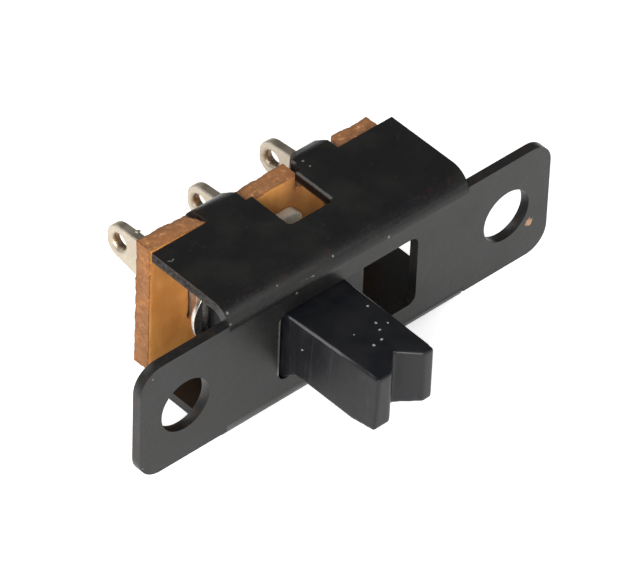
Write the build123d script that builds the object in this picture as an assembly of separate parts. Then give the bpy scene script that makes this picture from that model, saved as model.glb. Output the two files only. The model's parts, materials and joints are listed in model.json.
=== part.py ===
from build123d import *
import os

os.makedirs("parts", exist_ok=True)

# Two-position slide switch for panel mounting, in millimetres.
# X runs along the plate, Y points from the panel face to the back, Z is up.
# The origin lies on the panel face, midway between the two fixing holes.
# The knob is at the left end of its travel.

# Folded sheet frame
hole_spacing = 19.0           # between the fixing holes
hole_radius = 1.37
plate_length = 24.2
plate_height = 6.2
plate_corner_radius = 1.2
sheet = 0.5                   # thickness of the folded steel
body_length = 14.1            # of the folded channel, along X
body_height = 7.7             # over the two side walls
wall_depth = 5.1              # panel face to the rear edge of the walls
bend_radius = 0.6             # inside radius of the two long folds
slot_length = 8.14
slot_height = 3.9
slot_corner_radius = 0.45
notch_width = 2.55            # window in the rear edge of each wall
notch_depth = 2.5
notch_corner_radius = 0.25

# Tabs that fold over the terminal board
tab_width = 2.2
tab_centre = 2.72             # from the middle of the switch
tab_lip = 1.3                 # from the inside of the wall to the tab's end
tab_fold_radius = 0.55        # inside radius
tab_clearance = 0.05          # between tab and board
tab_corner = (0.25, 0.35)     # cut off each tab's right corner, along X and Y
tab_left_corner = (0.78, 0.38)  # cut off the left corner of the right-hand tabs

# Terminal board
board_thickness = 1.0
board_height = 7.16
board_left = 7.14             # from the middle of the switch to its left end
board_right = 6.47            # and to its right end
board_left_top = (4.0, 3.82)  # its left end stands higher: at the very end and by the tab
board_left_foot = 3.12        # and starts higher, below the middle
recess_gap = (0.15, 0.5)      # beside a tab: towards the middle, and away from it at the rear face
board_seat_gap = 0.02         # between the walls' rear edge and the board

# Terminals
terminal_pitch = 4.5
terminal_thickness = 0.5
terminal_fit = 0.03           # clearance of a terminal in its slot, each side
head_reach = 1.4              # of the flat contact head, from its blade to the middle
head_height = 4.0
head_thickness = 0.5
head_corner_radius = 0.6
head_edge_radius = 0.12
lug_height = 1.86             # near the tip
lug_corner_radius = 0.82
lug_shoulder = 0.37           # extra height below, near the board
lug_shoulder_reach = 2.2      # behind the board, where the shoulder starts to narrow
lug_straight = 0.25           # behind the board, before the lug leans
lug_eye_radius = 0.4
lug_eye_inset = 0.74          # from the eye's centre to the lug's tip
lug_eye_bevel = 0.15          # on the side of the eye that faces left
lug_reach = (4.44, 4.12, 4.27)  # behind the board, from left to right
lug_lean = (-2.0, -3.3, -4.0)   # degrees that each lug was bent aside

# Slider
knob_width = (3.61, 3.27)     # of its top, at the root and at the tip
knob_lean = (0.08, 0.24)      # of its left side, outward to the foot, at root and tip
knob_offset = 0.045           # its middle lies that much right of the slider's
knob_reach = 5.8              # in front of the panel face
knob_top = 1.85               # above the middle, at the panel face
knob_top_rise = 0.15          # by the tip
knob_foot = 1.15              # below the middle, in front of the root
knob_foot_rise = 0.25         # over the last stretch to the tip
knob_foot_stretch = 1.4       # length of that stretch
root_drop = 1.8               # below the middle, at the panel face
root_flare = 0.8              # length of the sloping root
knob_edge_radius = 0.12
groove_width = 1.95           # finger groove in the tip
groove_depth = 1.0
groove_offset = 0.14          # to the right of the slider's middle
slide_travel = 4.06
guide_length = 7.0            # plate that slides behind the panel face
guide_thickness = 1.25
guide_side_clearance = 0.15   # to each side wall
guide_face_clearance = 0.08   # to the back of the panel face
carrier_length = 6.0          # block that carries the moving contact
carrier_height = 4.4
carrier_back = 3.7            # panel face to its rear face
spring_bore_radius = 1.3
spring_bore_floor = 1.15      # panel face to the bottom of the bore
moulding_radius = 0.2

# Moving contact
contact_thickness = 0.25
contact_length = 7.7
contact_height = 3.4
contact_foot_spacing = 4.4
contact_foot_gap = 0.05       # running clearance on the terminals' heads
contact_dish = 0.24           # from the feet forward to the middle
contact_shoulder = 0.95       # from each foot inward to the dish
contact_rise = 0.73           # of the raised ends
contact_lip = 0.4             # flat length of the raised ends
contact_bend_radius = 0.35

# Spring behind the moving contact
spring_radius = 0.95          # to the middle of the wire
spring_wire = 0.3
spring_wire_sides = 8         # of the wire's section
spring_turns = 4.5
spring_end_gap = 0.02

# Places that follow from the sizes above
wall_outside = body_height / 2
wall_inside = wall_outside - sheet
outer_bend_radius = bend_radius + sheet
board_front = wall_depth + board_seat_gap
board_back = board_front + board_thickness
head_front = board_front - head_thickness
lug_top = lug_height / 2
lug_foot = lug_top + lug_shoulder
knee_depth = board_back + lug_straight
recess_floor = wall_inside - tab_fold_radius
rest_x = -slide_travel / 2
guide_front = sheet + guide_face_clearance
guide_back = guide_front + guide_thickness
guide_half_height = wall_inside - guide_side_clearance
foot_plane = head_front - contact_foot_gap - contact_thickness / 2
contact_middle = foot_plane - contact_dish


def prism(outline, front, back):
    """Solid of an outline drawn in X and Z, from one depth to another."""
    return extrude(Plane.XZ.offset(-front) * outline, amount=front - back)


def bar(section, length, middle=0.0):
    """Solid of a section drawn in Y and Z, along X about a middle."""
    return extrude(Plane.YZ.offset(middle - length / 2) * section, amount=length)


def front_rounded(front, back, half_height, radius):
    """Rectangle in Y and Z whose two front corners are round."""
    blank = Pos(front, 0) * Rectangle(
        back - front, 2 * half_height, align=(Align.MIN, Align.CENTER)
    )
    return fillet(blank.vertices().sort_by(Axis.X)[:2], radius)


def folded_tab(middle):
    """Tab that runs over the board's edge and folds down its rear face."""
    lip_front = board_back + tab_clearance
    lip_back = lip_front + sheet
    lip_end = wall_inside - tab_lip
    outer = Pos(wall_depth, wall_outside) * Rectangle(
        lip_back - wall_depth, wall_outside - lip_end, align=(Align.MIN, Align.MAX)
    )
    corner = outer.vertices().sort_by(lambda v: v.X + v.Y)[-1]
    outer = fillet(corner, tab_fold_radius + sheet)
    inner = Pos(wall_depth, wall_inside) * Rectangle(
        lip_front - wall_depth, wall_inside - lip_end, align=(Align.MIN, Align.MAX)
    )
    corner = inner.vertices().sort_by(lambda v: v.X + v.Y)[-1]
    inner = fillet(corner, tab_fold_radius)
    return bar(outer - inner, tab_width, middle)


def tab_corner_cut(edge, width, depth):
    """Solid that takes a corner off the folded end of a tab, from one of its side edges."""
    far_back = board_back + wall_depth
    outline = Polyline(
        (edge, board_back - depth),
        (edge + width, board_back),
        (edge + width, far_back),
        (edge, far_back),
        close=True,
    )
    return extrude(make_face(outline), amount=body_height / 2, both=True)


def build_frame():
    """Steel sheet folded into a channel with two fixing ears."""
    section = front_rounded(0, wall_depth, wall_outside, outer_bend_radius)
    section -= front_rounded(sheet, wall_depth, wall_inside, bend_radius)
    channel = bar(section, body_length)

    plate = prism(RectangleRounded(plate_length, plate_height, plate_corner_radius), 0, sheet)
    ears = plate - Box(body_length, 2 * sheet, body_height)
    frame = channel + ears

    slot = RectangleRounded(slot_length, slot_height, slot_corner_radius)
    frame -= prism(slot, 0, sheet)
    for side in (-1, 1):
        hole = Pos(side * hole_spacing / 2, 0) * Circle(hole_radius)
        frame -= prism(hole, 0, sheet)

    notch = RectangleRounded(notch_width, 2 * notch_depth, notch_corner_radius)
    window = extrude(Pos(0, wall_depth) * notch, amount=body_height / 2, both=True)
    frame -= window

    for middle in (-tab_centre, tab_centre):
        tab = folded_tab(middle)
        tab -= tab_corner_cut(middle + tab_width / 2, -tab_corner[0], tab_corner[1])
        if middle > 0:
            tab -= tab_corner_cut(middle - tab_width / 2, *tab_left_corner)
        frame += tab
        frame += mirror(tab, about=Plane.XY)
    return frame


def side_face(front, back, foot, top):
    """Rectangle in Y and Z, drawn from its front and back and its foot and top."""
    blank = Rectangle(back - front, foot + top, align=(Align.MIN, Align.MIN))
    return Pos(front, -foot) * blank


def build_board():
    """Laminate board with slots for the terminals and recesses for the tabs."""
    outline = Rectangle(tab_centre + board_right, board_height, align=(Align.MIN, Align.CENTER))
    end_piece = Polyline(
        (-board_left, -board_left_foot),
        (-tab_centre, -board_left_foot),
        (-tab_centre, board_left_top[1]),
        (-board_left, board_left_top[0]),
        close=True,
    )
    outline = Pos(-tab_centre, 0) * outline + make_face(end_piece)
    board = prism(outline, board_front, board_back)

    near = tab_centre - tab_width / 2 - recess_gap[0]
    far = tab_centre + tab_width / 2
    recess = Polyline(
        (near, board_front),
        (far + tab_clearance, board_front),
        (far + recess_gap[1], board_back),
        (near, board_back),
        close=True,
    )
    recess = extrude(Pos(0, 0, recess_floor) * make_face(recess), amount=board_height)
    for above in (recess, mirror(recess, about=Plane.YZ)):
        board -= above
        board -= mirror(above, about=Plane.XY)

    slot = side_face(board_front, board_back, lug_foot + terminal_fit, lug_top + terminal_fit)
    for index in (-1, 0, 1):
        board -= bar(slot, terminal_thickness + 2 * terminal_fit, index * terminal_pitch)
    return board


def build_terminal(index):
    """Flat contact head, blade through the board and solder lug with an eye."""
    x = index * terminal_pitch
    reach = lug_reach[index + 1] - lug_straight
    knee = Location((x, knee_depth, 0), (0, 0, -lug_lean[index + 1]))

    flush = terminal_thickness / 2
    left = x - (flush if index < 0 else head_reach)
    right = x + (flush if index > 0 else head_reach)
    head_face = RectangleRounded(right - left, head_height, head_corner_radius)
    head = prism(Pos((left + right) / 2, 0) * head_face, head_front, board_front)
    head = fillet(head.edges().group_by(Axis.Y)[0], head_edge_radius)

    blade_plan = Pos(x, board_front) * Rectangle(
        terminal_thickness, knee_depth - board_front, align=(Align.CENTER, Align.MIN)
    )
    lug_plan = knee * Rectangle(terminal_thickness, reach, align=(Align.CENTER, Align.MIN))
    knee_plan = knee * Circle(terminal_thickness / 2)
    strip = extrude(blade_plan + lug_plan + knee_plan, amount=lug_foot, both=True)

    tip = board_back + lug_reach[index + 1]
    lug_face = side_face(board_front, tip, lug_top, lug_top)
    lug_face = fillet(lug_face.vertices().sort_by(Axis.X)[-2:], lug_corner_radius)
    shoulder = Polyline(
        (board_front, 0),
        (board_front, -lug_foot),
        (board_back + lug_shoulder_reach, -lug_foot),
        (tip - lug_corner_radius, -lug_top),
        (tip - lug_corner_radius, 0),
        close=True,
    )
    strip &= bar(lug_face + make_face(shoulder), terminal_pitch / 2, x)

    across = knee * Pos(0, reach - lug_eye_inset, 0) * Rot(0, 90, 0)
    strip -= across * Cylinder(lug_eye_radius, terminal_pitch)
    rims = strip.edges().filter_by(lambda edge: edge.is_closed)
    return head + chamfer(rims.sort_by(Axis.X)[0], lug_eye_bevel)


def knob_section(depth, width, lean):
    """Cross-section of the knob's blank, whose left side leans outward to the foot."""
    outline = Polyline(
        (-width / 2, knob_top),
        (width / 2, knob_top),
        (width / 2, -root_drop),
        (-width / 2 - lean, -root_drop),
        close=True,
    )
    stretched = scale(make_face(outline), by=(1, (knob_top + knob_top_rise) / knob_top, 1))
    return Plane.XZ.offset(-depth) * Pos(rest_x + knob_offset, 0) * stretched


def build_slider():
    """Moulded knob, guide plate and contact carrier with its spring bore."""
    side_view = Polyline(
        (guide_back, knob_top),
        (-knob_reach, knob_top + knob_top_rise),
        (-knob_reach, -knob_foot + knob_foot_rise),
        (-knob_reach + knob_foot_stretch, -knob_foot),
        (-root_flare, -knob_foot),
        (0, -root_drop),
        (guide_back, -root_drop),
        close=True,
    )
    root = knob_section(guide_back, knob_width[0], knob_lean[0])
    tip = knob_section(-knob_reach, knob_width[1], knob_lean[1])
    knob = loft([root, tip], ruled=True) & bar(make_face(side_view), slot_length, rest_x)
    top_edges = knob.faces().sort_by(Axis.Z)[-1].edges()
    knob = fillet(top_edges.filter_by(lambda edge: abs(edge.tangent_at(0.5).Y) > 0.9), knob_edge_radius)
    groove_middle = rest_x + groove_offset
    groove = Polyline(
        (groove_middle - groove_width / 2, -knob_reach),
        (groove_middle, -knob_reach + groove_depth),
        (groove_middle + groove_width / 2, -knob_reach),
        close=True,
    )
    knob -= extrude(make_face(groove), amount=body_height / 2, both=True)

    guide_section = front_rounded(guide_front, guide_back, guide_half_height, bend_radius)
    guide = bar(guide_section, guide_length, rest_x)
    carrier_face = Pos(rest_x, 0) * RectangleRounded(carrier_length, carrier_height, moulding_radius)
    carrier = prism(carrier_face, guide_back, carrier_back)
    bore_face = Pos(rest_x, 0) * Circle(spring_bore_radius)
    bore = prism(bore_face, spring_bore_floor, carrier_back)
    return knob + guide + carrier - bore


def build_moving_contact():
    """Dished strip with two feet and rounded, raised ends."""
    foot = contact_foot_spacing / 2
    rim = contact_length / 2
    half = [
        (foot - contact_shoulder, contact_middle),
        (foot, foot_plane),
        (rim - contact_lip, foot_plane - contact_rise),
        (rim, foot_plane - contact_rise),
    ]
    points = [(-x, y) for x, y in reversed(half)] + half
    line = Pos(rest_x, 0) * FilletPolyline(*points, radius=contact_bend_radius)
    ribbon = make_face(offset(line, amount=contact_thickness / 2, side=Side.BOTH))
    strip = extrude(ribbon, amount=contact_height / 2, both=True)
    outline = Pos(rest_x, 0) * SlotOverall(contact_length, contact_height)
    return strip & prism(outline, spring_bore_floor, board_front)


def build_spring():
    """Helical compression spring between slider and moving contact."""
    front = spring_bore_floor + spring_end_gap + spring_wire / 2
    back = contact_middle - contact_thickness / 2 - spring_end_gap - spring_wire / 2
    coil = Helix(
        pitch=(back - front) / spring_turns,
        height=back - front,
        radius=spring_radius,
        center=(rest_x, front, 0),
        direction=(0, 1, 0),
    )
    start = Plane(origin=coil @ 0, z_dir=coil % 0)
    wire = start * RegularPolygon(spring_wire / 2, spring_wire_sides)
    return sweep(wire, path=coil, is_frenet=True)


parts = {
    "frame": build_frame(),
    "terminal_board": build_board(),
    "terminal_left": build_terminal(-1),
    "terminal_common": build_terminal(0),
    "terminal_right": build_terminal(1),
    "slider": build_slider(),
    "moving_contact": build_moving_contact(),
    "contact_spring": build_spring(),
}
for name, shape in parts.items():
    export_step(shape, f"parts/{name}.step")
    box = shape.bounding_box()
    print(f"{name}: volume {shape.volume:.2f}, from {box.min} to {box.max}")
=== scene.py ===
# %% [markdown]
# # A small slide switch, dressed for its picture
#
# The switch is a folded sheet of blackened steel that holds a brown laminate board,
# three tinned solder lugs and a black moulded knob with a finger groove. The packed
# model already has every form and every size. This lesson sets up the camera and the
# light, gives each part the finish of the real one, and adds what a drawing leaves out:
# rolled edges, crumbled rims on the board, soft edges on the knob, a few burrs and some
# grains of dust.
#
# All lengths in the scene are metres, so a value in millimetres is multiplied by `MM`.

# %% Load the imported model
import json
import math
from functools import reduce

import bmesh
import bpy
from mathutils import Euler, Matrix, Vector, noise
from mathutils.kdtree import KDTree


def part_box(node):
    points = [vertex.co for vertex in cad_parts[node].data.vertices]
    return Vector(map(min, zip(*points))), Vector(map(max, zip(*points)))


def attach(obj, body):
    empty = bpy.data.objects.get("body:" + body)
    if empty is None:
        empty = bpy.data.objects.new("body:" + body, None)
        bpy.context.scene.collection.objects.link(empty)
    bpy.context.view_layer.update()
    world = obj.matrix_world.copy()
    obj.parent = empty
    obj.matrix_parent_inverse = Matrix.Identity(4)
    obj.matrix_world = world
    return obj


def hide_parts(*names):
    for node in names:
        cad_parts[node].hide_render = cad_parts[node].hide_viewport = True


MM = 0.001
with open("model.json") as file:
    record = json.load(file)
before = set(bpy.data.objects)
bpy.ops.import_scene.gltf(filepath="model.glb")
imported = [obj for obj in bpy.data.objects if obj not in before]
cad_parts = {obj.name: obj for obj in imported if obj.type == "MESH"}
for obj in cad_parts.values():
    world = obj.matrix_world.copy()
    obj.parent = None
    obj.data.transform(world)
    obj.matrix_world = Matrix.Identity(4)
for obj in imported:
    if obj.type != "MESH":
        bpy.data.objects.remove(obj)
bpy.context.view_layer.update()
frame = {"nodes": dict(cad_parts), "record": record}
scene = bpy.context.scene
scene.view_settings.view_transform = "Standard"
print("nodes:", ", ".join(sorted(frame["nodes"])))

# %% [markdown]
# ## Camera
#
# The picture was taken from well away with a long lens, looking down from the left over
# the front of the plate. A camera placed by eye would never line up, so the place and
# the angles come from matching some fifty corners of the switch to their places in the
# picture. The lens is long, and that keeps the long edges of the plate nearly parallel.

# %% Place the camera
LENS_TO_WIDTH = 10.258      # focal length as a multiple of the picture's width
SENSOR_WIDTH = 36.0         # mm
CAMERA_PLACE = (-147.89, -152.90, 193.58)      # mm
CAMERA_TURN = (0.83519, -0.03042, -0.73513)    # radians about X, Y and Z
SIGHT = (0.01, 5.0)         # metres, the nearest and the farthest that is seen

camera_data = bpy.data.cameras.new("camera")
camera_data.sensor_width = SENSOR_WIDTH
camera_data.lens = LENS_TO_WIDTH * SENSOR_WIDTH
camera_data.clip_start, camera_data.clip_end = SIGHT
camera = bpy.data.objects.new("camera", camera_data)
camera.location = Vector(CAMERA_PLACE) * MM
camera.rotation_euler = Euler(CAMERA_TURN)
scene.collection.objects.link(camera)
scene.camera = camera
print("camera is", round(camera.location.length / MM), "mm from the switch")

# %% [markdown]
# ## Shader sums in plain Python
#
# A finish is a recipe of noises, masks and colours. It could be laid out in the shader
# editor, but there even a small sum takes many boxes and is hard to read later. The
# class `Signal` wraps one socket and overloads `+`, `-` and `*`, so a mask can be
# written as `1 - wear * 0.5`.

# %% Signals
class Signal:
    """A socket of a node tree that takes part in plain sums."""

    def __init__(self, recipe, socket):
        self.recipe, self.socket = recipe, socket

    def maths(self, operation, first, second):
        """The result of one operation on two signals or numbers."""
        settings = {"operation": operation}
        return self.recipe.node("ShaderNodeMath", settings, {0: first, 1: second})

    def __add__(self, other):
        return self.maths("ADD", self, other)

    def __sub__(self, other):
        return self.maths("SUBTRACT", self, other)

    def __rsub__(self, other):
        return self.maths("SUBTRACT", other, self)

    def __mul__(self, other):
        return self.maths("MULTIPLY", self, other)

    __radd__, __rmul__ = __add__, __mul__

    def most(self, other):
        """The larger of two signals, for masks laid over each other."""
        return self.maths("MAXIMUM", self, other)

    def span(self, low, high, to_low=0.0, to_high=1.0, smooth=True):
        """The signal's range from low to high, spread over another range and clamped."""
        values = {"From Min": low, "From Max": high, "To Min": to_low, "To Max": to_high}
        settings = {"interpolation_type": "SMOOTHSTEP" if smooth else "LINEAR"}
        return self.recipe.node("ShaderNodeMapRange", settings, {"Value": self, **values})


print("signals add, subtract, multiply, overlap and spread")

# %% [markdown]
# ## Recipes
#
# Every node comes from the one method `node`, which takes the node's type, its settings
# and what goes into its sockets. The room's light needs no more than that, so it is kept
# in a class of its own, on which the finishes are built.

# %% Recipes
class Recipe:
    """A node tree that is built up from plain calls."""

    def __init__(self, tree):
        self.tree = tree

    def fill(self, node, values):
        """Gives a node's sockets their values, or links them to signals."""
        for key, value in values.items():
            if isinstance(value, Signal):
                self.tree.links.new(value.socket, node.inputs[key])
            else:
                node.inputs[key].default_value = value

    def node(self, kind, settings=None, values=None, output=0):
        """Adds a node, applies its settings, fills its sockets and gives one output."""
        made = self.tree.nodes.new(kind)
        for key, value in (settings or {}).items():
            setattr(made, key, value)
        self.fill(made, values or {})
        return Signal(self, made.outputs[output])

    def vector(self, operation, first, second, output="Vector"):
        """A sum of two vectors, given as signals or as three numbers."""
        settings = {"operation": operation}
        return self.node("ShaderNodeVectorMath", settings, {0: first, 1: second}, output)

    def parts(self, vector):
        """The three components of a vector signal."""
        first = self.node("ShaderNodeSeparateXYZ", values={0: vector})
        return [Signal(self, socket) for socket in first.socket.node.outputs]

    def mix(self, factor, first, second):
        """A colour between two, each given as a signal or as red, green and blue."""
        first, second = (c if isinstance(c, Signal) else (*c, 1.0) for c in (first, second))
        settings = {"data_type": "RGBA", "clamp_factor": True}
        return self.node("ShaderNodeMix", settings, {0: factor, 6: first, 7: second}, 2)

    def layers(self, ground, *marks):
        """A ground colour under marks, each given as its mask and its colour."""
        for mask, colour in marks:
            ground = self.mix(mask, ground, colour)
        return ground


print("recipes ready")

# %% [markdown]
# ## Finishes
#
# A finish is a recipe for the surface of one material. Its patterns are measured in
# millimetres on the part itself and not on the picture, so they stay where they are when
# the slider moves. Marks are soft spots and soft lines at chosen places, and everything
# that repeats without an end is noise.

# %% Finishes
class Finish(Recipe):
    """One material whose patterns are measured in millimetres on the part."""

    def __init__(self, name, **values):
        self.material = bpy.data.materials.new(name)
        self.material.use_nodes = True
        super().__init__(self.material.node_tree)
        self.surface(**values)
        place = self.node("ShaderNodeTexCoord", output="Object")
        in_mm = {"Vector": place, "Scale": (1 / MM,) * 3}
        self.place = self.node("ShaderNodeMapping", values=in_mm)
        self.normal = self.node("ShaderNodeTexCoord", output="Normal")

    def surface(self, **values):
        """Fills the shader's sockets, named with underscores, and gives the material."""
        values = {name.replace("_", " "): value for name, value in values.items()}
        self.fill(self.tree.nodes["Principled BSDF"], values)
        return self.material

    def stretched(self, *scale):
        """The place in millimetres, squeezed along each axis by a factor."""
        return self.node("ShaderNodeMapping", values={"Vector": self.place, "Scale": scale})

    def noise(self, scale, detail=3.0, roughness=0.5, at=None):
        """Noise from 0 to 1 with so many features to the millimetre."""
        values = {"Scale": scale, "Detail": detail, "Roughness": roughness}
        return self.node("ShaderNodeTexNoise", {}, {"Vector": at or self.place, **values})

    def near(self, point, radius):
        """A soft spot: 1 at a point in millimetres, 0 from the radius outwards."""
        return self.vector("DISTANCE", self.place, point, "Value").span(0.0, radius, 1.0, 0.0)

    def stroke(self, start, end, width):
        """A soft line: 1 along the way between two points, 0 from the width outwards."""
        way = Vector(end) - Vector(start)
        from_start = self.vector("SUBTRACT", self.place, tuple(start))
        share = tuple(way / way.length_squared)
        along = self.vector("DOT_PRODUCT", from_start, share, "Value")
        reached = self.node(
            "ShaderNodeVectorMath",
            {"operation": "SCALE"},
            {0: tuple(way), "Scale": along.span(0.0, 1.0, smooth=False)},
        )
        apart = self.vector("DISTANCE", from_start, reached, "Value")
        return apart.span(0.0, width, 1.0, 0.0)

    def bump(self, height, distance):
        """A normal from a height signal whose full step is a distance in millimetres."""
        return self.node("ShaderNodeBump", {}, {"Height": height, "Distance": distance * MM})


def most_of(make, marks):
    """The mask of several marks laid over each other."""
    return reduce(Signal.most, [make(*mark) for mark in marks])


print("finishes ready")

# %% [markdown]
# ## Table
#
# The switch lies on one of its long side walls on a white table. Most of what is seen on
# black satin paint is a reflection, and the front of the plate mirrors the table. The
# table glows a little, more for the camera than for what mirrors it, so that it is white
# in the picture without making the black parts pale.

# %% Table
SIDE_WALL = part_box("frame")[0].z
TABLE_SIZE = 0.7            # metres
TABLE_GAP = 0.005           # mm, between the table and the side wall
TABLE_WHITE = 0.86
GLOW_SEEN, GLOW_MIRRORED = 0.62, 0.40

table_mesh = bpy.data.meshes.new("table")
shape = bmesh.new()
bmesh.ops.create_grid(shape, x_segments=1, y_segments=1, size=TABLE_SIZE / 2)
bmesh.ops.translate(shape, verts=shape.verts, vec=(0, 0, SIDE_WALL - TABLE_GAP * MM))
shape.to_mesh(table_mesh)
shape.free()
table = bpy.data.objects.new("table", table_mesh)
scene.collection.objects.link(table)

white = Finish(
    "table_white",
    Base_Color=(TABLE_WHITE, TABLE_WHITE, TABLE_WHITE, 1.0),
    Roughness=0.9,
    Emission_Color=(1.0, 1.0, 1.0, 1.0),
)
seen, mirrored, through = (
    white.node("ShaderNodeLightPath", output=f"Is {kind} Ray")
    for kind in ("Camera", "Glossy", "Transmission")
)
glow = seen * GLOW_SEEN + mirrored * GLOW_MIRRORED + through * GLOW_SEEN
table_mesh.materials.append(white.surface(Emission_Strength=glow))
print("table lies at z =", round(SIDE_WALL / MM, 3), "mm")

# %% [markdown]
# ## Room
#
# The top of the frame mirrors the room and stays near black, so the room is dim in
# mirrors. As a light it is a dull grey that fills the shadows, and the camera sees it
# plain white behind the switch. One world can be all three when its strength asks which
# kind of ray has reached it.

# %% Room
ROOM_LIGHT, ROOM_MIRRORED, ROOM_SEEN = 0.52, 0.13, 1.0

room = bpy.data.worlds.new("room")
room.use_nodes = True
scene.world = room
sky = Recipe(room.node_tree)
mirrored = sky.node("ShaderNodeLightPath", output="Is Glossy Ray")
seen = sky.node("ShaderNodeLightPath", output="Is Camera Ray")
strength = mirrored.span(0.0, 1.0, ROOM_LIGHT, ROOM_MIRRORED, smooth=False)
strength = seen.span(0.0, 1.0, strength, ROOM_SEEN, smooth=False)
sky.fill(sky.tree.nodes["Background"], {"Color": (1.0, 1.0, 1.0, 1.0), "Strength": strength})
print("the room's strength is", ROOM_LIGHT, "as light and", ROOM_MIRRORED, "in mirrors")

# %% [markdown]
# ## Lamps
#
# The picture has hardly a shadow, so the lamps are large squares. The strongest stands to
# the left of the camera, and none stands where the top wall would mirror it.

# %% Lamps
LAMPS = {  # place in mm, side in mm, watts
    "key": ((-215, -150, 140), 140, 0.88),
    "fill": ((60, -230, 110), 160, 0.11),
    "rim": ((-60, 190, 150), 120, 0.12),
}

for name, (place, side, watts) in LAMPS.items():
    data = bpy.data.lights.new(name, "AREA")
    data.shape, data.size, data.energy = "SQUARE", side * MM, watts
    lamp = bpy.data.objects.new(name, data)
    lamp.location = Vector(place) * MM
    lamp.rotation_euler = (-lamp.location).to_track_quat("-Z", "Y").to_euler()
    scene.collection.objects.link(lamp)
print("lamps:", ", ".join(LAMPS))

# %% [markdown]
# ## Marks on the blackened steel
#
# The frame is stamped and folded, and then blackened with a thin satin film. Handling
# leaves its marks on the outer bends and at the ends of the folds, where the part
# touches others in the bin: chips, scratches, some dirt, and one rusty spot on the right
# ear. Along the lower bend a painted shade joins the dirt, dark and dull, to dim what
# the bend mirrors of the table. Noise alone would put them anywhere, so each has its
# place, and noise only frays its outline.

# %% Marks on the blackened steel
CHIPPED = [  # place and radius in mm: spots where the black came off
    ((2.25, 0.02, 2.90), 0.16),
    ((-0.86, 0.24, 3.43), 0.13),
    ((-3.16, 0.0, 2.79), 0.13),
    ((-4.05, 0.30, 3.55), 0.12),
    ((2.02, 5.41, 3.85), 0.14),
    ((2.03, 4.96, 3.85), 0.12),
    ((-6.90, 0.36, 3.56), 0.17),
    ((-6.88, 0.14, 3.40), 0.13),
    ((-6.95, 0.03, 3.14), 0.15),
    ((-6.72, 0.08, 3.30), 0.08),
    ((-11.42, 0.0, 2.62), 0.10),
    ((-11.90, 0.0, -2.35), 0.10),
]
RUSTY = ((10.97, 0.0, -1.19), 0.46)
SCRATCHED = [  # two ends and width in mm: scratches and rubbed rims
    ((-6.84, 4.26, 3.85), (-6.74, 4.16, 3.85), 0.09),
    ((-6.74, 4.16, 3.85), (-6.60, 4.22, 3.85), 0.08),
    ((1.30, 4.95, 3.85), (1.31, 2.80, 3.85), 0.16),
    ((1.66, 5.55, 3.85), (1.66, 5.95, 3.72), 0.14),
    ((-4.05, 0.0, 1.60), (-4.05, 0.0, -1.45), 0.24),
    ((-2.10, 0.10, 3.12), (-2.95, 0.16, 3.20), 0.09),
]
DIRTY = [  # two ends and width in mm: where dirt took the gloss
    ((-3.90, 5.75, 3.55), (-3.90, 6.20, 3.40), 0.70),
    ((1.60, 5.70, 3.50), (1.60, 5.70, 3.20), 0.50),
    ((1.31, 4.95, 3.58), (1.31, 2.90, 3.58), 0.30),
]
DIRTY_END = ((-6.98, 1.0, 3.60), (-6.98, 5.6, 3.60), 0.45)    # left end of the top wall
# painted shade: this stroke darkens and dulls what the lower bend mirrors of the table
LOWER_BEND_SHADE = ((-7.00, 0.0, -3.48), (7.00, 0.0, -3.48), 0.48)   # all along the lower bend

steel = Finish(
    "black_satin_steel", Specular_IOR_Level=0.47, Specular_Tint=(1.0, 0.985, 0.95, 1.0)
)
ragged = steel.noise(7.0, detail=4.0, roughness=0.7)
bare = (most_of(steel.near, CHIPPED) * 0.9 + ragged - 0.5).span(0.38, 0.72)
rust = (steel.near(*RUSTY) * 0.8 + ragged * 1.4 - 0.7).span(0.34, 0.60)
rubbed = (most_of(steel.stroke, SCRATCHED) * 0.8 + ragged - 0.5).span(0.28, 0.66)
dirt_and_shade = most_of(steel.stroke, DIRTY)
dirt_and_shade = dirt_and_shade.most(steel.stroke(*DIRTY_END) * ragged.span(0.3, 0.7))
# the painted shade along the lower bend joins the dirt in one mask
dirt_and_shade = dirt_and_shade.most(steel.stroke(*LOWER_BEND_SHADE) * 0.40)
print("marked", len(CHIPPED), "chips and", len(SCRATCHED), "scratches")

# %% [markdown]
# ## Colour of the blackened steel
#
# The film is not one flat black. It is cooler and warmer in clouds, greyish where it is
# scuffed, and sprinkled with pale specks along the upper bend, where folding strained
# it. The punched edges of the plate shimmer brown and blue. All of it stays very dark,
# because the grey of the picture is gloss and not paint.

# %% Colour of the blackened steel
SHEET = 0.5          # mm, thickness of the steel
SHEEN_FADE = 0.12    # mm, over which the sheen of its edges ends
COOL_BLACK, WARM_BLACK = (0.0055, 0.0056, 0.0062), (0.0105, 0.0103, 0.0097)
SCUFFED, SPECKLED = (0.045, 0.043, 0.040), (0.075, 0.073, 0.070)
RUBBED_STEEL, BARE_STEEL = (0.22, 0.215, 0.205), (0.24, 0.22, 0.205)
RUST, DIRT_AND_SHADE = (0.42, 0.25, 0.14), (0.030, 0.014, 0.008)
BROWN_SHEEN, BLUE_SHEEN = (0.030, 0.014, 0.009), (0.007, 0.010, 0.020)

cloud = steel.noise(0.45, detail=4.0)
fine_grain = steel.noise(28.0, detail=2.0)
hammered = steel.noise(3.2, detail=3.0)
scuffs = steel.noise(2.2, detail=6.0, roughness=0.65).span(0.60, 0.74)

_, depth, height = steel.parts(steel.place)
_, forward, _ = steel.parts(steel.normal)
punched = depth.span(SHEET + SHEEN_FADE, SHEET) * (forward * forward).span(0.6, 0.2)
upper_bend = depth.span(1.0, 0.3) * height.span(2.6, 3.1)
specks = fine_grain.span(0.60, 0.70) * (0.25 + upper_bend * 0.75)

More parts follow.
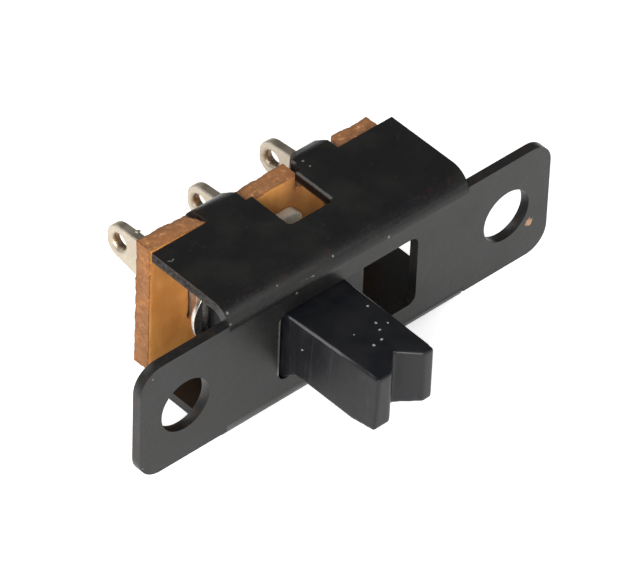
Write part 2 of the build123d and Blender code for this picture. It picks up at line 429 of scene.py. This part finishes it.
paint = steel.layers(
    steel.mix(cloud.span(0.35, 0.65), COOL_BLACK, WARM_BLACK),
    (scuffs * 0.25, SCUFFED),
    (rubbed * 0.75, RUBBED_STEEL),
    (bare * 0.75, BARE_STEEL),
    (rust, RUST),
    (punched * hammered.span(0.48, 0.66) * 0.45, BROWN_SHEEN),
    (punched * hammered.span(0.46, 0.34) * 0.5, BLUE_SHEEN),
    (specks * 0.5, SPECKLED),
    # dirt, and along the lower bend a painted shade, in one dark brown
    (dirt_and_shade * ragged.span(0.2, 0.6), DIRT_AND_SHADE),
)
print("painted", steel.material.name)

# %% [markdown]
# ## Gloss of the blackened steel
#
# A slightly uneven gloss says satin paint far more than a colour can. The roughness
# drifts in the same clouds as the colour and rises with scuffs, dirt, rust and the
# painted shade along the lower bend. The relief is a few thousandths of a millimetre,
# from fine grain to wide waves, and drops where a chip went through the film.

# %% Gloss of the blackened steel
FILM_RELIEF = 0.006    # mm

grain = steel.noise(9.0, detail=2.0)
rough = cloud.span(0.3, 0.7, 0.30, 0.42) + grain * 0.06 + scuffs * 0.08
rough = rough + dirt_and_shade * 0.45 + bare * 0.1 + rust * 0.3
waves = grain * 0.7 + fine_grain * 0.5 + hammered * 1.6 + cloud * 4.0
black_steel = steel.surface(
    Base_Color=paint,
    Roughness=rough,
    Metallic=(rubbed.most(bare * 0.3) * 0.5).most(dirt_and_shade * 0.95),
    Normal=steel.bump(waves - bare * 2.5 - rubbed, FILM_RELIEF),
)
print("made", black_steel.name)

# %% [markdown]
# ## Faces and cut edges of the laminate
#
# The board is paper soaked in resin and pressed. Its faces are smooth and glow orange
# brown, with long faint fibres. Where it was sheared, the cut edge is rougher, duller
# and pinkish, and full of crumbs and flecks. One recipe serves both: the surface's own
# normal says which is a face and which is a cut edge.

# %% Faces and cut edges of the laminate
FACE_ORANGE, FACE_AMBER = (0.66, 0.275, 0.066), (0.75, 0.345, 0.096)
FACE_BROWN = (0.50, 0.18, 0.042)
CUT_DARK, CUT_LIGHT = (0.250, 0.106, 0.036), (0.335, 0.152, 0.059)
CUT_WARM, HOLLOW = (0.42, 0.155, 0.045), (0.25, 0.085, 0.030)
CRUMB, PALE_CRUMB = (0.48, 0.200, 0.066), (0.72, 0.44, 0.25)
DARK_FLECK, PALE_FLECK = (0.17, 0.062, 0.028), (0.66, 0.40, 0.24)

resin = Finish("resin_laminate", Specular_IOR_Level=0.35)
_, forward, upward = resin.parts(resin.normal)
cut = (forward * forward).span(0.25, 0.85, 1.0, 0.0)
upward = upward.span(0.3, 0.9)
fibres = resin.noise(1.6, detail=4.0, at=resin.stretched(1.0, 1.0, 0.25))
blotch = resin.noise(0.7, detail=3.0)
lumps = resin.noise(2.6, detail=5.0, roughness=0.62)
crumbs = resin.noise(3.6, detail=3.0, roughness=0.6)
flecks = resin.noise(6.0, detail=4.0, roughness=0.7)

face_colour = resin.layers(
    resin.mix(fibres.span(0.3, 0.75), FACE_ORANGE, FACE_AMBER),
    (blotch.span(0.40, 0.66) * 0.45, FACE_BROWN),
)
cut_colour = resin.layers(
    resin.mix(lumps.span(0.36, 0.62), CUT_DARK, CUT_LIGHT),
    (blotch.span(0.48, 0.70) * 0.6, CUT_WARM),
    (crumbs.span(0.50, 0.64) * 0.75, CRUMB),
    (crumbs.span(0.63, 0.72) * upward * 0.7, PALE_CRUMB),
    (crumbs.span(0.42, 0.30) * 0.5, HOLLOW),
    (flecks.span(0.60, 0.72) * 0.45, DARK_FLECK),
    (flecks.span(0.40, 0.28) * 0.35, PALE_FLECK),
)
print("coloured", resin.material.name)

# %% [markdown]
# ## Wear and gloss of the laminate
#
# On top of the two colours come the bitten rims, which a later cell marks with the
# attribute `chip`, a painted shade that darkens what faces up, soot from soldering along
# the rear of the top edge, and a deeper brown where the board shows through the notch.
# The relief follows the crumbs on the cut edges and is faint on the faces.

# %% Wear and gloss of the laminate
CHIP_BROWN, UPWARD_SHADE = (0.24, 0.095, 0.036), (0.15, 0.07, 0.03)
SOOT, NOTCH_BROWN = (0.07, 0.035, 0.02), (0.26, 0.085, 0.030)
SOOT_FROM, SOOT_FULL = 5.95, 6.13    # mm behind the panel face
NOTCH_SHADE = ((1.35, 5.12, 3.9), (1.35, 5.12, 2.4), 1.1)    # two ends and width in mm
CUT_RELIEF = 0.025    # mm

chipped = resin.node("ShaderNodeAttribute", {"attribute_name": "chip"}, output="Fac")
_, depth, _ = resin.parts(resin.place)
soot = depth.span(SOOT_FROM, SOOT_FULL) * upward * lumps.span(0.3, 0.6)
resin_colour = resin.layers(
    resin.mix(cut, face_colour, cut_colour),
    (chipped * flecks.span(0.35, 0.6) * 0.55, CHIP_BROWN),
    # painted shade: faces that point up are darker
    (upward * 0.22, UPWARD_SHADE),
    (soot * 0.6, SOOT),
    (resin.stroke(*NOTCH_SHADE) * 0.55, NOTCH_BROWN),
)
crumbled = lumps * cut * 2.0 + crumbs * cut + flecks * cut
laminate = resin.surface(
    Base_Color=resin_colour,
    Roughness=cut.span(0.0, 1.0, 0.46, 0.72) + blotch * 0.08,
    Normal=resin.bump(crumbled + fibres * 0.3, CUT_RELIEF),
)
print("made", laminate.name)

# %% [markdown]
# ## Tinned brass
#
# The lugs are punched from brass strip and dipped in tin, which leaves a warm, dull
# silver with soft clouds and small pits. It is a metal, so its colour lies in what it
# reflects, and the recipe only tints that a little and breaks up the gloss. The walls of
# the eyelets get a painted shade in brown, and the record's mounts say where the eyelets
# are. One head of a lug shows lit through the notch, so a painted light makes it pale,
# dull and chalky there, and hardly a metal.

# %% Tinned brass
WARM_TIN, BRIGHT_TIN, PITTED = (0.60, 0.525, 0.415), (0.70, 0.635, 0.53), (0.36, 0.28, 0.17)
PAINTED_LIGHT_CREAM, EYELET_SHADE_BROWN = (0.88, 0.80, 0.64), (0.27, 0.19, 0.11)
# painted light: the lug head seen through the notch is made pale, dull and chalky
PAINTED_LIGHT_HEAD = ((0.4, 4.6, 2.0), 1.5)    # place and radius in mm
# painted shade: the walls and rims of the eyelets are browned
EYE_SHADE_REACH = 0.56                      # mm, how far from its axis an eyelet is brown
EYE_AXIS = Vector((0.4, 0.0, 0.0))    # mm, from an eyelet's middle to one end
TIN_RELIEF = 0.012                    # mm

tin = Finish("dull_tin")
tin_cloud = tin.noise(1.3, detail=4.0)
tin_pits = tin.noise(11.0, detail=3.0, roughness=0.6)
# painted light on the head seen through the notch
painted_light = tin.near(*PAINTED_LIGHT_HEAD)
eyelets = [
    Vector(mount["pos_m"]) / MM
    for mount in frame["record"]["mounts"]
    if mount["name"].startswith("eyelet")
]
axes = [(eyelet - EYE_AXIS, eyelet + EYE_AXIS, EYE_SHADE_REACH) for eyelet in eyelets]
# painted shade inside the eyelets
eyelet_shade = most_of(tin.stroke, axes).span(0.04, 0.22)
tinned = tin.surface(
    Base_Color=tin.layers(
        tin.mix(tin_cloud.span(0.35, 0.65), WARM_TIN, BRIGHT_TIN),
        (tin_pits.span(0.58, 0.75) * 0.5, PITTED),
        (painted_light, PAINTED_LIGHT_CREAM),
        (eyelet_shade * tin_pits.span(0.25, 0.55) * 0.8, EYELET_SHADE_BROWN),
    ),
    Roughness=tin_cloud.span(0.3, 0.7, 0.38, 0.54) + tin_pits * 0.08 + painted_light * 0.3,
    Metallic=painted_light.span(0.0, 0.8, 1.0, 0.0),
    Normal=tin.bump(tin_pits + tin_cloud * 2.0, TIN_RELIEF),
)
print("made", tinned.name, "with", len(eyelets), "brown eyelets")

# %% [markdown]
# ## Black moulding
#
# The knob is moulded in a hard black plastic. It is a touch bluer and smoother than the
# frame, with fine drag marks along the direction in which it left the mould. The left
# side is streaked upright and a little grey, and two edges of the top are worn pale by
# fingers.

# %% Black moulding
COOL_PLASTIC, WARM_PLASTIC = (0.0048, 0.0054, 0.0078), (0.0082, 0.0086, 0.0106)
STREAKED, WORN_PALE = (0.026, 0.025, 0.024), (0.135, 0.135, 0.140)
WORN_SIDE = ((-3.735, -0.20, 1.83), (-3.590, -5.70, 1.96), 0.13)     # ends, width in mm
WORN_GROOVE = ((-1.85, -4.85, 1.98), (-0.95, -5.78, 2.00), 0.15)
MOULD_RELIEF = 0.008    # mm

moulding = Finish(
    "black_moulding", Specular_IOR_Level=0.42, Specular_Tint=(1.0, 0.985, 0.955, 1.0)
)
drag = moulding.noise(5.0, detail=4.0, at=moulding.stretched(1.0, 0.12, 1.0))
mottle = moulding.noise(0.8, detail=3.0)
mould_grain = moulding.noise(22.0, detail=2.0)
streaks = moulding.noise(1.0, detail=4.0, at=moulding.stretched(0.3, 5.0, 0.45))
sideways, _, _ = moulding.parts(moulding.normal)
left_side = sideways.span(-0.5, -0.9)
_, depth, _ = moulding.parts(moulding.place)
worn = moulding.stroke(*WORN_SIDE) * depth.span(-4.8, -1.4, 0.42, 1.0)
worn = worn.most(moulding.stroke(*WORN_GROOVE))
worn = (worn * 0.7 + drag - 0.5).span(0.22, 0.62)
mould_rough = mottle.span(0.3, 0.7, 0.26, 0.38) + drag * 0.08
black_moulding = moulding.surface(
    Base_Color=moulding.layers(
        moulding.mix(mottle.span(0.35, 0.65), COOL_PLASTIC, WARM_PLASTIC),
        (left_side * streaks.span(0.52, 0.72) * 0.5, STREAKED),
        (worn * 0.7, WORN_PALE),
    ),
    Roughness=mould_rough + left_side * streaks * 0.14 + worn * 0.15,
    Normal=moulding.bump(
        drag * 0.6 + mould_grain * 0.3 + left_side * streaks * 1.2, MOULD_RELIEF
    ),
)
print("made", black_moulding.name)

# %% [markdown]
# ## Contact metal and spring wire
#
# The moving contact shows only as a bright crescent beside the left lug, and the spring
# lies out of sight in its bore, but both are seen when the switch is taken apart. The
# contact is silver plated and bright with faint rubbing marks, and the spring is plain
# bright wire.

# %% Contact metal and spring wire
SILVER, TARNISHED = (0.86, 0.83, 0.77), (0.74, 0.69, 0.60)
BRIGHT_WIRE, DRAWN_WIRE = (0.58, 0.58, 0.60), (0.42, 0.41, 0.41)
SILVER_RELIEF = 0.004    # mm

silver = Finish("silver_contact", Metallic=1.0)
rubbing = silver.noise(4.0, detail=4.0, at=silver.stretched(0.3, 1.0, 1.0))
silver_contact = silver.surface(
    Base_Color=silver.mix(rubbing.span(0.35, 0.7), SILVER, TARNISHED),
    Roughness=rubbing.span(0.3, 0.7, 0.22, 0.38),
    Normal=silver.bump(rubbing, SILVER_RELIEF),
)
wire = Finish("spring_wire", Metallic=1.0)
drawn = wire.noise(12.0, detail=3.0)
spring_wire = wire.surface(
    Base_Color=wire.mix(drawn.span(0.4, 0.7), BRIGHT_WIRE, DRAWN_WIRE),
    Roughness=drawn.span(0.3, 0.7, 0.25, 0.4),
)
print("made", silver_contact.name, "and", spring_wire.name)

# %% [markdown]
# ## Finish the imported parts
#
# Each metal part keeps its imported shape. It gets its finish, and a stack of modifiers
# that joins its loose triangles, clears the seams between flat ones and rolls the sharp
# edges over a little. No real edge is perfectly sharp, and the thin bright line along a
# rolled edge tells the eye how large a thing is.

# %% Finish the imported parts
JOIN_REACH = 0.0002 * MM    # points closer than this are one point
SEAM_ANGLE = math.radians(0.6)
ROLL_ANGLE = math.radians(28)
ROLL_STEPS = 3
FINISHES = {  # material, and how far each edge rolls over in mm
    "frame": (black_steel, 0.07),
    "terminal_left": (tinned, 0.08),
    "terminal_common": (tinned, 0.08),
    "terminal_right": (tinned, 0.08),
    "moving_contact": (silver_contact, 0.03),
    "contact_spring": (spring_wire, 0.0),
}


def roll_edges(part, width):
    """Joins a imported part's triangles and rounds its sharp edges by modifiers."""
    weld = part.modifiers.new("join", "WELD")
    weld.merge_threshold = JOIN_REACH
    flat = part.modifiers.new("clear_seams", "DECIMATE")
    flat.decimate_type, flat.angle_limit = "DISSOLVE", SEAM_ANGLE
    roll = part.modifiers.new("roll", "BEVEL")
    roll.width, roll.segments = width * MM, ROLL_STEPS
    roll.limit_method, roll.angle_limit = "ANGLE", ROLL_ANGLE
    roll.harden_normals = True
    roll.miter_outer = "MITER_ARC"


for name, (material, width) in FINISHES.items():
    part = frame["nodes"][name]
    part.data.materials.clear()
    part.data.materials.append(material)
    if width:
        roll_edges(part, width)
print("finished", len(FINISHES), "parts")

# %% [markdown]
# ## Even copies and their rims
#
# Two parts change their shape a little: the board, whose rims crumbled when it was
# sheared, and the slider, whose edges are soft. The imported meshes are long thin
# triangles that can't bend, and they must stay as they are, so each of the two is copied
# and remeshed into small even faces. What happens to a point then depends on how far it
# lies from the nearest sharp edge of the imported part. A k-d tree of points along those
# edges answers that quickly.

# %% Even copies and their rims
RIM_STEP = 0.05    # mm, between the points that mark the rims
RIM_ANGLE = math.radians(30)


def rim_tree(mesh):
    """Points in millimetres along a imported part's sharp edges, to measure from."""
    shape = bmesh.new()
    shape.from_mesh(mesh)
    bmesh.ops.remove_doubles(shape, verts=shape.verts, dist=JOIN_REACH)
    points = []
    for edge in shape.edges:
        if len(edge.link_faces) == 2 and edge.calc_face_angle() > RIM_ANGLE:
            first, last = (vert.co / MM for vert in edge.verts)
            steps = max(1, round((last - first).length / RIM_STEP))
            points += [first.lerp(last, step / steps) for step in range(steps + 1)]
    shape.free()
    tree = KDTree(len(points))
    for index, point in enumerate(points):
        tree.insert(point, index)
    tree.balance()
    return tree


def even_shape(mesh, side):
    """The same solid as even faces with a side in millimetres, the remesher's unit."""
    large = mesh.copy()
    large.transform(Matrix.Scale(1 / MM, 4))
    holder = bpy.data.objects.new("even_shape", large)
    scene.collection.objects.link(holder)
    remesh = holder.modifiers.new("remesh", "REMESH")
    remesh.mode, remesh.voxel_size = "VOXEL", side
    shape = bmesh.new()
    shape.from_object(holder, bpy.context.evaluated_depsgraph_get())
    bpy.data.objects.remove(holder)
    bpy.data.meshes.remove(large)
    return shape


print("rims are marked every", RIM_STEP, "mm")

# %% [markdown]
# ## Pieces
#
# A new shape becomes a piece of the switch when it has a mesh, a material and a body to
# ride on.

# %% Pieces
def piece_of(shape, name, material, body, node_name=None):
    """Makes a shape in metres a piece, in place of a node if one is named; gives its mesh."""
    mesh = bpy.data.meshes.new(name)
    shape.to_mesh(mesh)
    shape.free()
    mesh.materials.append(material)
    piece = bpy.data.objects.new(name, mesh)
    scene.collection.objects.link(piece)
    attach(piece, body)
    if node_name:
        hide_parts(node_name)
    return mesh


def to_metres(shape):
    """Brings a shape in millimetres to the scene's size and shades it smoothly."""
    bmesh.ops.scale(shape, verts=shape.verts, vec=(MM,) * 3)
    for face in shape.faces:
        face.smooth = True
    return shape


# %% [markdown]
# ## The sheared board
#
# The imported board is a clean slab. The real one was sheared from a sheet, which crumbles
# the resin along its rims. Each point near a rim is moved inward by a noise that bites
# here and there, and each point of a cut edge by a finer one. Points move inward only,
# so the board keeps its size. How deep a point went is kept with it, as the attribute
# `chip`, and darkens the resin there.

# %% The sheared board
BOARD_FACE = 0.07    # mm, side of the small faces
RIM_REACH = 0.30     # mm, how far from a rim the resin is bitten
BITE = 0.09          # mm, depth of the deepest bites
RELIEF = 0.012       # mm, unevenness of a cut edge
LEAST = 0.004        # mm, how far every point goes inward
CRUMBLY = 0.35       # the larger, the more of a rim is bitten


def bitten(point, normal, rim_distance):
    """How far a point of the board goes inward, in millimetres."""
    bites = noise.noise(point * 1.2) + 0.4 * noise.noise(point * 3.6 + Vector((7, 1, 3)))
    crumbs = noise.noise(point * 9.0 + Vector((2, 5, 8)))
    rim = max(0.0, 1.0 - rim_distance / RIM_REACH) ** 1.3
    cut = 1.0 - min(1.0, abs(normal.y) * 1.4)
    relief = RELIEF * cut * (1.0 + noise.noise(point * 3.1) + 0.6 * crumbs)
    return max(LEAST, BITE * rim * max(0.0, CRUMBLY + bites + 0.3 * crumbs) + relief)


board = frame["nodes"]["terminal_board"].data
tree = rim_tree(board)
shape = even_shape(board, BOARD_FACE)
shape.normal_update()
chip = shape.verts.layers.float.new("chip")
for vert in shape.verts:
    inward = bitten(vert.co, vert.normal, tree.find(vert.co)[2])
    vert[chip] = min(1.0, inward / (0.5 * BITE))
    vert.co -= vert.normal * inward
deep = sum(vert[chip] > 0.5 for vert in shape.verts)
board_mesh = piece_of(
    to_metres(shape), "sheared_board", laminate, "housing", "terminal_board"
)
print("board:", len(board_mesh.vertices), "points,", deep, "chipped")

# %% [markdown]
# ## The moulded slider
#
# A moulding has no sharp corner, and the knob has been pushed by many fingers. A bevel
# is stopped by the tiny facets of its fillets, so only the points near the rims of an
# even copy are relaxed towards their neighbours a few times. Flat faces stay flat, and
# each edge rolls over by about a tenth of a millimetre.

# %% The moulded slider
SLIDER_FACE = 0.08    # mm, side of the small faces
SOFT_REACH = 0.26     # mm, how far from a rim the points are relaxed
SOFT_STEPS = 5        # times that the points are relaxed

slider = frame["nodes"]["slider"].data
tree = rim_tree(slider)
shape = even_shape(slider, SLIDER_FACE)
near_rim = [vert for vert in shape.verts if tree.find(vert.co)[2] < SOFT_REACH]
for _ in range(SOFT_STEPS):
    bmesh.ops.smooth_vert(
        shape, verts=near_rim, factor=0.5, use_axis_x=True, use_axis_y=True, use_axis_z=True
    )
slider_mesh = piece_of(
    to_metres(shape), "soft_slider", black_moulding, "slider", "slider"
)
print("slider:", len(slider_mesh.vertices), "points,", len(near_rim), "relaxed")

# %% [markdown]
# ## Burrs
#
# Shearing and folding leave small burrs at the corners where the ears meet the folded
# walls, and one on the left lug. Each is a small lump: a sphere of few faces, squeezed
# to its size and made uneven by noise. Lumps of one kind are one piece.

# %% Burrs
BURRS = [  # centre and half-sizes in mm
    ((-6.98, 0.20, -3.14), (0.14, 0.14, 0.07)),
    ((6.93, 0.20, -3.12), (0.12, 0.14, 0.08)),
    ((7.02, 0.22, 3.06), (0.10, 0.14, 0.08)),
    ((-6.96, 0.50, 3.54), (0.08, 0.14, 0.09)),
]
LUG_BURRS = [((-4.42, 9.02, 0.92), (0.14, 0.10, 0.07))]
UNEVEN = 0.35    # share of a lump's size


def lumps_of(places, kind):
    """A shape of uneven lumps; each kind of lump has a number of its own."""
    shape = bmesh.new()
    for index, (centre, half_sizes) in enumerate(places):
        verts = bmesh.ops.create_icosphere(shape, subdivisions=2, radius=1.0)["verts"]
        shift = Vector((kind, index * 3.7, 0))
        for vert in verts:
            vert.co *= 1.0 + UNEVEN * noise.noise(vert.co * 1.6 + shift)
        bmesh.ops.scale(shape, verts=verts, vec=[half * MM for half in half_sizes])
        bmesh.ops.translate(shape, verts=verts, vec=Vector(centre) * MM)
    return shape


piece_of(lumps_of(BURRS, 1), "frame_burrs", black_steel, "housing")
piece_of(lumps_of(LUG_BURRS, 2), "lug_burr", tinned, "housing")
print("made", len(BURRS) + len(LUG_BURRS), "burrs")

# %% [markdown]
# ## Dust
#
# The knob has gathered a few pale grains, most of them on its top. They are lumps like
# the burrs, only smaller, and ride on the slider, so they move with the knob.

# %% Dust
GRAINS = [  # centre and half-sizes in mm
    ((-0.71, -1.92, 1.90), (0.075, 0.065, 0.05)),
    ((-1.19, -2.96, 1.93), (0.065, 0.080, 0.05)),
    ((-1.36, -3.40, 1.94), (0.070, 0.060, 0.05)),
    ((-1.72, -3.92, 1.955), (0.080, 0.060, 0.05)),
    ((-2.24, -3.98, 1.955), (0.070, 0.075, 0.05)),
    ((-0.79, -3.29, 1.935), (0.050, 0.060, 0.04)),
    ((-2.43, -2.91, 1.93), (0.040, 0.045, 0.03)),
    ((-3.82, -1.17, 0.66), (0.035, 0.060, 0.060)),
    ((-3.19, -5.77, 0.50), (0.060, 0.030, 0.050)),
]
DUST_GREY, DUST_PALE = (0.17, 0.18, 0.20), (0.30, 0.30, 0.31)

dust = Finish("pale_dust", Roughness=0.85)
dust_tone = dust.noise(14.0, detail=2.0).span(0.35, 0.65)
pale_dust = dust.surface(Base_Color=dust.mix(dust_tone, DUST_GREY, DUST_PALE))
piece_of(lumps_of(GRAINS, 3), "knob_dust", pale_dust, "slider")
print("made", len(GRAINS), "grains of dust")
